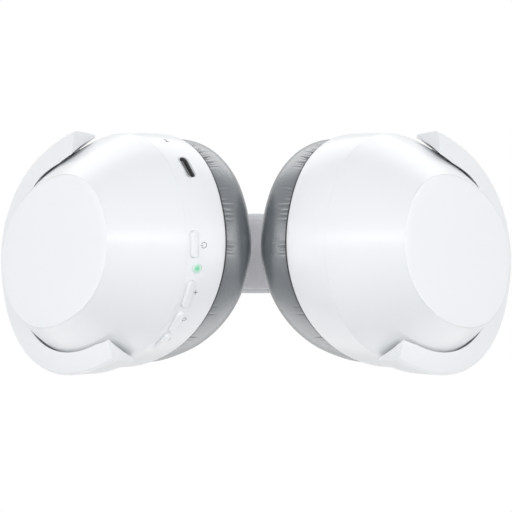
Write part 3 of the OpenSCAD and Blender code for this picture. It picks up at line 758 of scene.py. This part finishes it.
class HEADPHONES_OT_yokes(Operator):
    """Horseshoe yokes cut clear of the tilting cup, with the swivel barrel blended into the ring"""

    bl_idname = "headphones.yokes"
    bl_label = "Yokes"

    def ring(self):
        """Oval ring of wedge section, cut off with a slant below the pivots."""
        cup = scene_sizes()[0]
        a, b = cup.half_width + YOKE_PROUD, cup.half_height + YOKE_PROUD
        rings = [(a - out, b - out, YOKE_FIRST + along) for out, along in corner(0, 90, 0.4 * MM)]
        rings += [(a - along, b - along, YOKE_LAST - out) for out, along in corner(0, 90, 1.0 * MM)]
        inside = len(rings)
        for w in (23.8, 21.4, 19, 16.5, 14.1):
            flare_a, flare_b = flare_oval(w * MM)
            inset = 0.2 * MM if w == 23.8 else 0
            rings.append((flare_a + YOKE_GAP + inset, flare_b + YOKE_GAP + inset, w * MM + inset))
        piece = oval_rings("yoke_right", rings)
        sides = len(piece.data.vertices) // len(rings)
        for vertex in piece.data.vertices[inside * sides:]:
            share = min(1, max(0, vertex.co.y + 22 * MM) / (18 * MM)) if vertex.co.x < 0 else 0
            rise = YOKE_RISE * share * (vertex.co.z - YOKE_FIRST) / (YOKE_LAST - YOKE_FIRST)
            vertex.co += Vector((0.7 * rise, 0, rise))
        edit(piece)
        bpy.ops.mesh.select_all(action="SELECT")
        bpy.ops.mesh.bisect(
            plane_co=(0, YOKE_TIP, YOKE_FIRST), plane_no=(0, 1, -TIP_SLANT), use_fill=True, clear_outer=True
        )
        object_mode()
        return piece

    def clearance(self, turn):
        """The cup's outside, tilted, with the gap round it."""
        cup = scene_sizes()[0]
        rings = [tuple(size + TILT_GAP for size in band_oval(w * MM)) + (w * MM,) for w in (0, 4, 8, 13)]
        rings += [tuple(size + TILT_GAP for size in flare_oval(w * MM)) + (w * MM,) for w in (17, 21, 25, 29, 33)]
        piece = oval_rings("tilted_cup", rings, closed=False)
        middle = Matrix.Translation((0, 0, PIVOT_AT))
        place(piece, middle @ Matrix.Rotation(math.radians(turn), 4, "X") @ middle.inverted())
        return piece

    def neck(self):
        """Barrel of the swivel, spreading into a foot that lies in the ring's thickness."""
        cup = scene_sizes()[0]
        count = 48
        foot = []
        for i in range(count):
            turn = 2 * math.pi * i / count
            angle = math.radians(-8 + 27 * math.cos(turn))
            foot.append(CUP @ Vector((
                (cup.half_width + 0.3 * MM) * full(math.sin(angle)),
                -(cup.half_height + 0.3 * MM) * full(math.cos(angle)),
                18.1 * MM + 3.0 * MM * math.sin(turn),
            )))
        root = outline("neck_foot", foot)
        bpy.ops.object.select_all(action="DESELECT")
        bpy.ops.mesh.primitive_circle_add(
            vertices=count, radius=BARREL_RADIUS, location=SWIVEL + Vector((0, 0, 5 * MM))
        )
        barrel = added("neck_barrel")
        bpy.ops.object.transform_apply(location=True)
        piece = join("yoke_neck", [barrel, root])
        edit(piece)
        bpy.ops.mesh.select_mode(type="EDGE")
        bpy.ops.mesh.select_all(action="SELECT")
        bpy.ops.mesh.bridge_edge_loops(number_cuts=12, interpolation="SURFACE", smoothness=1.0)
        top = SWIVEL.z + 5 * MM
        select_where(piece, "edges", lambda edge: all(abs(v.co.z - top) < 1e-6 for v in edge.verts))
        bpy.ops.mesh.extrude_edges_move(TRANSFORM_OT_translate={"value": (0, 0, BARREL_HEIGHT - 5.6 * MM)})
        for share, rise in ((0.97, 0.35), (0.9, 0.25)):
            bpy.ops.mesh.extrude_edges_move(TRANSFORM_OT_translate={"value": (0, 0, rise * MM)})
            bpy.ops.transform.resize(value=(share, share, 1), center_override=tuple(SWIVEL))
        select_where(piece, "edges", lambda edge: edge.is_boundary)
        bpy.ops.mesh.fill_holes(sides=0)
        bpy.ops.mesh.select_all(action="SELECT")
        bpy.ops.mesh.quads_convert_to_tris()
        bpy.ops.mesh.normals_make_consistent(inside=False)
        object_mode()
        return piece

    def execute(self, context):
        right = self.ring()
        for turn in TILT_STEPS:
            combine(right, self.clearance(turn))
        place(right, CUP)
        right = join("yoke_right", [right, self.neck()])
        left = mirrored(right, "yoke_left")
        for piece, body, node in ((right, "right_yoke", "yoke_r"), (left, "left_yoke", "yoke_l")):
            smooth(piece, 40)
            finish_piece(piece, body, FINISHES["shell"], "shell_white", node)
        return {"FINISHED"}


def swell(piece, held, slack, pressure, cap):
    """Blows a pad up like its foam does, with no point further than the cap from where it began."""
    stage = scene_sizes()[3]
    begun = [vertex.co.copy() for vertex in piece.data.vertices]
    for name, weights in (("held", held), ("slack", slack)):
        group = piece.vertex_groups.new(name=name)
        for index, weight in enumerate(weights):
            group.add([index], weight, "REPLACE")
    only(piece)
    cloth = piece.modifiers.new("Swell", "CLOTH")
    settings = cloth.settings
    settings.quality = 6
    settings.mass = 0.2
    settings.tension_stiffness = settings.compression_stiffness = 12
    settings.shear_stiffness = 6
    settings.bending_stiffness = 0.4
    settings.use_pressure = True
    settings.uniform_pressure_force = pressure
    settings.effector_weights.gravity = 0
    settings.vertex_group_mass = "held"
    settings.vertex_group_shrink = "slack"
    settings.shrink_min = 0.0
    settings.shrink_max = -0.12
    cloth.point_cache.frame_start = 1
    cloth.point_cache.frame_end = stage.settle_frames
    for number in range(1, stage.settle_frames + 1):
        bpy.context.scene.frame_set(number)
    bpy.ops.object.modifier_apply(modifier=cloth.name)
    bpy.context.scene.frame_set(1)
    for vertex, start in zip(piece.data.vertices, begun):
        move = vertex.co - start
        if move.length > cap:
            vertex.co = start + move * (cap / move.length)


PAD_INSET = 0.9 * MM
PAD_TOP = -0.8 * MM
PAD_WEDGE = 0.9 * MM
# Edge of the dark ring that holds the pad, as (inset from the rim's outline, distance from the rim); it shows as a
# thin dark line at the rim that is partly painted shade of the gap between rim and pad
PAD_SEAM = ((3 * MM, -0.1 * MM), (0.5 * MM, -0.1 * MM), (0.5 * MM, -0.75 * MM), (3 * MM, -0.75 * MM))
# Outer half of the pad's section, as (millimetres outwards from the pad's outline, share of the thickness)
PAD_SIDE = (
    (-3.4, 0), (-1.7, 0), (-1.2, 0.03), (-0.95, 0.08), (-0.65, 0.18), (-0.35, 0.34), (-0.2, 0.52), (-0.5, 0.66),
    (-1.45, 0.79), (-3, 0.905), (-5.2, 0.975),
)
# Clusters of creases at the rim, as (angle in degrees, half spread, number, depth)
GATHERS = (
    (-39, 17, 27, 0.4 * MM),
    (-3, 8, 8, 0.28 * MM),
    (17.5, 4, 4, 0.28 * MM),
    (51, 6, 2, 0.14 * MM),
    (76, 12, 12, 0.22 * MM),
    (128, 10, 9, 0.26 * MM),
    (172, 9, 8, 0.26 * MM),
    (214, 15, 20, 0.36 * MM),
    (262, 8, 7, 0.26 * MM),
    (293, 8, 6, 0.22 * MM),
)


class HEADPHONES_OT_ear_pads(Operator):
    """Leatherette ear pads, swollen by their foam and gathered at the rim"""

    bl_idname = "headphones.ear_pads"
    bl_label = "Ear Pads"

    def section(self):
        """Points round the pad's section, as (outwards from its middle, distance from the rim)."""
        cup = scene_sizes()[0]
        half, rise = cup.pad_width / 2, cup.pad_thickness
        outer = [(half + out * MM, PAD_TOP - rise * share) for out, share in PAD_SIDE]
        inner = [(-out, w) for out, w in reversed(outer)]
        return outer + [(0, PAD_TOP - rise)] + inner + [(0, PAD_TOP)]

    def creases(self):
        """Creases round the pad, as (angle in degrees, depth, length, lean)."""
        for number, (middle, spread, count, deep) in enumerate(GATHERS):
            for i in range(count):
                share = (2 * i + 1) / count - 1
                stray = noise.noise_vector(Vector((number * 3.7 + i * 0.83, 8.1, 3.0)))
                angle = middle + spread * (share + 0.5 * stray.x / count)
                depth = deep * (1 - 0.45 * share * share) * (1 + 0.8 * stray.y)
                yield angle % 360, depth, (4.6 + 3.4 * stray.z) * MM, 0.35 * stray.x

    def gather(self, piece):
        """Presses short creases where the leatherette is pulled in under the rim, and marks their depth for the
        painted shade in the pad's finish.
        """
        cup = scene_sizes()[0]
        offset = PAD_INSET + cup.pad_width / 2
        middle_a, middle_b = cup.half_width - offset, cup.half_height - offset
        near = [[] for degree in range(360)]
        for crease in self.creases():
            for degree in range(int(crease[0]) - 4, int(crease[0]) + 5):
                near[degree % 360].append(crease)
        normals = [vertex.normal.copy() for vertex in piece.data.vertices]
        crease_shade_marks = piece.data.attributes.new("crease", "FLOAT", "POINT")
        width = 0.27 * MM
        for vertex, normal in zip(piece.data.vertices, normals):
            x, y, w = vertex.co
            if abs(x / middle_a) ** cup.power + abs(y / middle_b) ** cup.power < 1:
                continue
            turn = math.atan2(rounded(x / cup.half_width, cup.power / 2), rounded(y / cup.half_height, cup.power / 2))
            pace = math.radians(math.hypot(cup.half_width * math.cos(turn), cup.half_height * math.sin(turn)))
            turn = math.degrees(turn) % 360
            below = max(0.0, PAD_TOP - w)
            press = 0.0
            for angle, depth, reach, lean in near[int(turn) % 360]:
                if below < reach:
                    across = ((turn - angle + 180) % 360 - 180) * pace - lean * below
                    press += depth * (1 - below / reach) ** 0.6 * math.exp(-((across / width) ** 2))
            slow = noise.noise(Vector((turn * 0.08, w / MM * 0.15, 9.0)))
            vertex.co += normal * (0.12 * MM * slow - press)
            # Depth of the crease, which the pad's finish turns into painted shade
            crease_shade_marks.data[vertex.index].value = min(1.0, press / (0.3 * MM))

    def execute(self, context):
        cup = scene_sizes()[0]
        offset = PAD_INSET + cup.pad_width / 2
        middle_a, middle_b = cup.half_width - offset, cup.half_height - offset
        rings = [(middle_a + out, middle_b + out, w) for out, w in self.section()]
        seam = [(cup.half_width - inset, cup.half_height - inset, w) for inset, w in PAD_SEAM]
        right_seam = oval_rings("seam_right", seam)
        place(right_seam, CUP)
        left_seam = mirrored(right_seam, "seam_left")
        # The dark seam ring stands partly for the pad's holding ring and partly for painted shade in the gap between
        # rim and pad
        for piece, body in ((right_seam, "right_cup"), (left_seam, "left_cup")):
            smooth(piece)
            finish_piece(piece, body, FINISHES["dark"], "dark_plastic")
        right = oval_rings("pad_right", rings, sides=260)
        for vertex in right.data.vertices:
            share = (PAD_TOP - vertex.co.z) / cup.pad_thickness
            vertex.co.z -= PAD_WEDGE * share * vertex.co.x / cup.half_width
        levels = [vertex.co.z for vertex in right.data.vertices]
        held = [1.0 if w > -1.6 * MM else 0.0 for w in levels]
        slack = [max(0.0, 1 - max(0, -1 * MM - w) / (7 * MM)) for w in levels]
        swell(right, held, slack, 4.0, 0.5 * MM)
        apply(right, "SUBSURF", levels=2, render_levels=2)
        self.gather(right)
        place(right, CUP)
        left = mirrored(right, "pad_left")
        for piece, body, node in ((right, "right_cup", "ear_pad_r"), (left, "left_cup", "ear_pad_l")):
            smooth(piece, 180)
            finish_piece(piece, body, FINISHES["pad"], "pad_leather", node)
        return {"FINISHED"}


class HEADPHONES_OT_headband(Operator):
    """Headband shell, spun along its arcs and drawn in to the arms, and its padded cushion"""

    bl_idname = "headphones.headband"
    bl_label = "Headband"

    def section(self):
        """Half section of the shell, as (offset from the middle, depth below the outside)."""
        half = band_half_width(0)
        points = [(0, 0)]
        for i in range(9):
            turn = math.radians(90 * i / 8)
            points.append((half * (0.55 + 0.45 * math.sin(turn)), 2.8 * MM * (1 - math.cos(turn))))
        points += [(half - out, 8 * MM - along) for out, along in corner(90, 0, 0.6 * MM)]
        points += [(half - 2 * MM + along, 8 * MM - out) for out, along in corner(90, 0, 0.5 * MM)]
        points += [(half - 2 * MM, 2.5 * MM), (0, 2.5 * MM)]
        return points

    def shell(self):
        band = scene_sizes()[1]
        radius, level, reach, shoulder = band_path()
        half = self.section()
        loop = half + [(-across, depth) for across, depth in reversed(half[1:-1])]
        piece = outline("headband_cover", [(0, across, band.crown_top - depth) for across, depth in loop])
        edit(piece)
        bpy.ops.mesh.select_mode(type="EDGE")
        bpy.ops.mesh.select_all(action="SELECT")
        bpy.ops.mesh.spin(steps=28, angle=CROWN_TURN, center=(0, 0, level), axis=(0, -1, 0))
        bpy.ops.mesh.spin(
            steps=20, angle=math.pi / 2 - CROWN_TURN, center=(reach, 0, shoulder), axis=(0, -1, 0)
        )
        bpy.ops.mesh.extrude_edges_move(TRANSFORM_OT_translate={"value": (0, 0, band.end_level - shoulder)})
        bpy.ops.mesh.edge_face_add()
        object_mode()
        for vertex in piece.data.vertices:
            x, y, z = vertex.co
            turn = math.atan2(x, z - level)
            if turn > CROWN_TURN:
                turn = math.atan2(x - reach, max(0, z - shoulder))
            vertex.co.y *= band_half_width(turn) / band_half_width(0)
        apply(piece, "MIRROR", use_axis=(True, False, False), merge_threshold=1e-6)
        face_outwards(piece)
        return piece

    def cushion(self):
        """Foam cushion on its carrier: flat above, crowned below, thin at its ends."""
        depth, thick, half_length = 7.6 * MM, 9.9 * MM, 110.1 * MM
        rows, count = 72, 36
        points = []
        for i in range(rows + 1):
            length = half_length * (2 * i / rows - 1)
            fade = abs(length / half_length) ** 4
            for j in range(count):
                turn = 2 * math.pi * j / count
                up = math.sin(turn)
                share = 0.45 + 0.52 * up ** 0.8 if up > 0 else max(0, 0.45 - 0.5 * math.sqrt(-up))
                points.append(band_point(
                    length, depth + thick * (1 - 0.7 * fade) * share,
                    -0.885 * (1 - 0.12 * fade) * rounded(math.cos(turn), 0.75),
                ))
        faces = [
            (i * count + j, i * count + (j + 1) % count, (i + 1) * count + (j + 1) % count, (i + 1) * count + j)
            for i in range(rows) for j in range(count)
        ]
        faces += [tuple(range(count)), tuple(rows * count + j for j in range(count))]
        mesh = bpy.data.meshes.new("crown_cushion")
        mesh.from_pydata(points, [], faces)
        piece = bpy.data.objects.new("crown_cushion", mesh)
        bpy.context.scene.collection.objects.link(piece)
        edit(piece)
        bpy.ops.mesh.select_all(action="SELECT")
        bpy.ops.mesh.normals_make_consistent(inside=False)
        object_mode()
        back = [math.sin(2 * math.pi * j / count) < -0.3 for j in range(count)]
        held = [
            1.0 if back[j] or i in (0, rows) else 0.0 for i in range(rows + 1) for j in range(count)
        ]
        swell(piece, held, [0.0] * len(held), 4.0, 0.8 * MM)
        apply(piece, "SUBSURF", levels=1, render_levels=1)
        return piece

    def execute(self, context):
        shell = self.shell()
        smooth(shell)
        finish_piece(shell, "headband", FINISHES["shell"], "shell_white", "headband_shell")
        cushion = self.cushion()
        smooth(cushion, 60)
        finish_piece(cushion, "headband", FINISHES["cushion"], "cushion_leather", "headband_cushion")
        return {"FINISHED"}


class HEADPHONES_OT_sliders(Operator):
    """Slider arms and inner covers with rounded edges"""

    bl_idname = "headphones.sliders"
    bl_label = "Sliders"

    def execute(self, context):
        for node, name, body in (
            ("slider_arm_r", "arm_right", "right_slider"),
            ("slider_arm_l", "arm_left", "left_slider"),
            ("slider_cover_r", "cover_right", "headband"),
            ("slider_cover_l", "cover_left", "headband"),
        ):
            piece = copy_of(node, name)
            apply(piece, "BEVEL", width=0.5 * MM, segments=3, limit_method="ANGLE", angle_limit=math.radians(40))
            smooth(piece)
            finish_piece(piece, body, FINISHES["shell"], "shell_white", node)
        return {"FINISHED"}


# Printed signs as (angle round the rim, distance from the rim, strokes), a stroke being
# (length, width, turn, along, outwards) in millimetres and degrees: power ring, plus, ring and minus
RING = tuple((0.45, 0.2, turn, -0.85 * math.sin(math.radians(turn)), 0.85 * math.cos(math.radians(turn)))
             for turn in range(0, 360, 20))
SIGNS = (
    (15.9, 7.9 * MM, RING[2:17] + ((0.9, 0.2, 90, 0, 0.65),)),
    (38.4, 8.2 * MM, ((1.5, 0.22, 0, 0, 0), (1.5, 0.22, 90, 0, 0))),
    (53.5, 7.9 * MM, tuple((0.45, 0.2, turn, along * 0.75, out * 0.75) for length, width, turn, along, out in RING)),
    (67, 7.7 * MM, ((1.5, 0.22, 0, 0, 0),)),
)


class HEADPHONES_OT_controls(Operator):
    """Keys, lamp and printed signs of the right cup"""

    bl_idname = "headphones.controls"
    bl_label = "Controls"

    def execute(self, context):
        for node, body, angle, w, length in KEYS:
            piece = bar("cap_" + node, length, KEY_WIDTH, -2.6 * MM, 0.9 * MM, 0.45 * MM)
            place(piece, CUP @ on_band(angle, w))
            smooth(piece)
            finish_piece(piece, body, FINISHES["shell"], "shell_white", node)
        lens = bar("lamp_window", LAMP[2] * 1.001, LAMP[2], -4 * MM, 0.1 * MM, 0.08 * MM)
        place(lens, CUP @ on_band(LAMP[0], LAMP[1]))
        smooth(lens)
        finish_piece(lens, "right_cup", FINISHES["lamp"], "lamp", "lamp_guide")
        strokes = []
        for angle, w, parts in SIGNS:
            for length, width, turn, along, out in parts:
                stroke = bar("stroke", length * MM, width * MM, -0.05 * MM, 0.02 * MM)
                lie = on_slope(angle, w, along * MM, out * MM)
                place(stroke, CUP @ lie @ Matrix.Rotation(math.radians(turn), 4, "Z"))
                strokes.append(stroke)
        signs = join("printed_signs", strokes)
        finish_piece(signs, "right_cup", FINISHES["print"], "shell_white")
        shell = bar("usb_shell", USB[2], USB[3], -8.2 * MM, -0.3 * MM)
        combine(shell, bar("usb_bore", USB[2] - 0.6 * MM, USB[3] - 0.6 * MM, -7 * MM, 2 * MM))
        place(shell, CUP @ on_band(USB[0], USB[1]))
        smooth(shell)
        finish_piece(shell, "right_cup", FINISHES["plug"], "steel", "usb_socket")
        tongue = bar("usb_tongue", 6.6 * MM, 0.9 * MM, -7.8 * MM, -0.9 * MM, 0.1 * MM)
        place(tongue, CUP @ on_band(USB[0], USB[1]))
        smooth(tongue)
        finish_piece(tongue, "right_cup", FINISHES["tongue"], "steel")
        return {"FINISHED"}


NODE_FINISHES = {
    "dark": "cushion_carrier slider_guide_r slider_guide_l baffle_r baffle_l driver_basket_r driver_basket_l "
    "pad_ring_r pad_ring_l microphone key_switches",
    "film": "diaphragm_r diaphragm_l",
    "scrim": "scrim_r scrim_l",
    "steel": "spring_band detent_spring_r detent_spring_l cover_screws slider_strip_r slider_strip_l swivel_pin_r "
    "swivel_pin_l pivot_pins_r pivot_pins_l baffle_screws_r baffle_screws_l driver_magnet_r driver_magnet_l",
    "brass": "pivot_bushes_r pivot_bushes_l",
    "board": "main_board",
    "cell": "battery",
}


class HEADPHONES_OT_inner_parts(Operator):
    """Finishes of the frame solids that show as they are"""

    bl_idname = "headphones.inner_parts"
    bl_label = "Inner Parts"

    def execute(self, context):
        for look, names in NODE_FINISHES.items():
            for name in names.split():
                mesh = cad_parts[name].data
                mesh.materials.clear()
                mesh.materials.append(FINISHES[look])
        return {"FINISHED"}


class HEADPHONES_OT_stage(Operator):
    """Camera below the headphones, soft lamps and a pale floor"""

    bl_idname = "headphones.stage"
    bl_label = "Stage"

    def plain_rays(self, tree):
        """Output that is 1 for rays that show a surface as it is: seen, mirrored or looked through."""
        rays = tree.nodes.new("ShaderNodeLightPath")
        plain = rays.outputs["Is Camera Ray"]
        for kind in ("Is Glossy Ray", "Is Transmission Ray"):
            either = tree.nodes.new("ShaderNodeMath")
            either.operation = "ADD"
            either.use_clamp = True
            tree.links.new(plain, either.inputs[0])
            tree.links.new(rays.outputs[kind], either.inputs[1])
            plain = either.outputs["Value"]
        return plain

    def pale_floor(self):
        """Pale floor that still takes a shadow."""
        material = moulded("pale_floor", (0.9, 0.9, 0.9), 0.6)
        tree = material.node_tree
        material.cycles.emission_sampling = "NONE"
        glow = tree.nodes.new("ShaderNodeEmission")
        part = tree.nodes.new("ShaderNodeMath")
        part.operation = "MULTIPLY"
        part.inputs[1].default_value = 0.8
        mix = tree.nodes.new("ShaderNodeMixShader")
        tree.links.new(self.plain_rays(tree), part.inputs[0])
        tree.links.new(part.outputs["Value"], mix.inputs["Fac"])
        tree.links.new(tree.nodes["Principled BSDF"].outputs["BSDF"], mix.inputs[1])
        tree.links.new(glow.outputs["Emission"], mix.inputs[2])
        tree.links.new(mix.outputs["Shader"], tree.nodes["Material Output"].inputs["Surface"])
        return material

    def execute(self, context):
        stage = scene_sizes()[3]
        scene = context.scene
        scene.view_settings.view_transform = "Standard"
        bpy.ops.object.select_all(action="DESELECT")
        bpy.ops.object.camera_add(
            location=(0, stage.camera_back, stage.camera_height), rotation=(math.pi, 0, 0)
        )
        camera = context.object
        camera.name = "photo_camera"
        camera.data.lens = stage.lens
        camera.data.sensor_width = 36
        camera.data.clip_start = 0.01
        scene.camera = camera
        for name, place_at, aim, size, power in (
            ("below", (0, -0.07, -0.62), (0, 0, -0.12), (0.9, 0.05), 0.97),
            ("right", (-0.8, 0, -0.45), (0, 0, -0.12), (0.6, 0.9), 3.0),
            ("left", (0.8, 0, -0.45), (0, 0, -0.12), (0.6, 0.9), 3.0),
            ("front", (0, -0.8, 0.30), (0, 0, -0.12), (1.4, 0.7), 5.2),
            ("back", (0, 0.8, 0.30), (0, 0, -0.12), (1.4, 0.7), 3.6),
        ):
            direction = Vector(aim) - Vector(place_at)
            bpy.ops.object.light_add(
                type="AREA", location=place_at, rotation=direction.to_track_quat("-Z", "Y").to_euler()
            )
            lamp = context.object
            lamp.name = "lamp_" + name
            lamp.data.shape = "RECTANGLE"
            lamp.data.size, lamp.data.size_y = size
            lamp.data.energy = power
        world = bpy.data.worlds.new("studio")
        scene.world = world
        world.use_nodes = True
        tree = world.node_tree
        light = tree.nodes["Background"]
        light.inputs["Color"].default_value = (0.95, 0.97, 1.0, 1)
        light.inputs["Strength"].default_value = 0.295
        seen = tree.nodes.new("ShaderNodeBackground")
        seen.inputs["Color"].default_value = (1, 1, 1, 1)
        seen.inputs["Strength"].default_value = 1.0
        mix = tree.nodes.new("ShaderNodeMixShader")
        tree.links.new(self.plain_rays(tree), mix.inputs["Fac"])
        tree.links.new(light.outputs["Background"], mix.inputs[1])
        tree.links.new(seen.outputs["Background"], mix.inputs[2])
        tree.links.new(mix.outputs["Shader"], tree.nodes["World Output"].inputs["Surface"])
        bpy.ops.mesh.primitive_plane_add(size=16, location=(0, 0, stage.floor_level))
        floor = added("floor")
        bpy.ops.object.transform_apply(location=True)
        floor.data.materials.append(self.pale_floor())
        return {"FINISHED"}


class HEADPHONES_PT_panel(Panel):
    """Lists the pieces and their sizes"""

    bl_idname = "HEADPHONES_PT_panel"
    bl_label = "Over Ear Headphones"
    bl_space_type = "VIEW_3D"
    bl_region_type = "UI"
    bl_category = "Headphones"

    def draw(self, context):
        for operator in OPERATORS:
            self.layout.operator(operator.bl_idname)
        for group in scene_sizes():
            for key in group.bl_rna.properties.keys():
                if key not in {"rna_type", "name"}:
                    self.layout.prop(group, key)


OPERATORS = (
    HEADPHONES_OT_cup_bands,
    HEADPHONES_OT_outer_shells,
    HEADPHONES_OT_disc_caps,
    HEADPHONES_OT_yokes,
    HEADPHONES_OT_ear_pads,
    HEADPHONES_OT_headband,
    HEADPHONES_OT_sliders,
    HEADPHONES_OT_controls,
    HEADPHONES_OT_inner_parts,
    HEADPHONES_OT_stage,
)
GROUPS = (CupSizes, BandSizes, Finishes, StageSettings)


def register():
    for item in GROUPS + OPERATORS + (HEADPHONES_PT_panel,):
        bpy.utils.register_class(item)
    bpy.types.Scene.headphone_cup = PointerProperty(type=CupSizes)
    bpy.types.Scene.headphone_band = PointerProperty(type=BandSizes)
    bpy.types.Scene.headphone_finish = PointerProperty(type=Finishes)
    bpy.types.Scene.headphone_stage = PointerProperty(type=StageSettings)


def unregister():
    for name in ("headphone_cup", "headphone_band", "headphone_finish", "headphone_stage"):
        delattr(bpy.types.Scene, name)
    for item in reversed(GROUPS + OPERATORS + (HEADPHONES_PT_panel,)):
        bpy.utils.unregister_class(item)


def main():
    register()
    bpy.ops.object.select_all(action="DESELECT")
    make_finishes()
    bpy.ops.headphones.cup_bands()
    bpy.ops.headphones.outer_shells()
    bpy.ops.headphones.disc_caps()
    bpy.ops.headphones.yokes()
    bpy.ops.headphones.ear_pads()
    bpy.ops.headphones.headband()
    bpy.ops.headphones.sliders()
    bpy.ops.headphones.controls()
    bpy.ops.headphones.inner_parts()
    bpy.ops.headphones.stage()


if __name__ == "__main__":
    main()
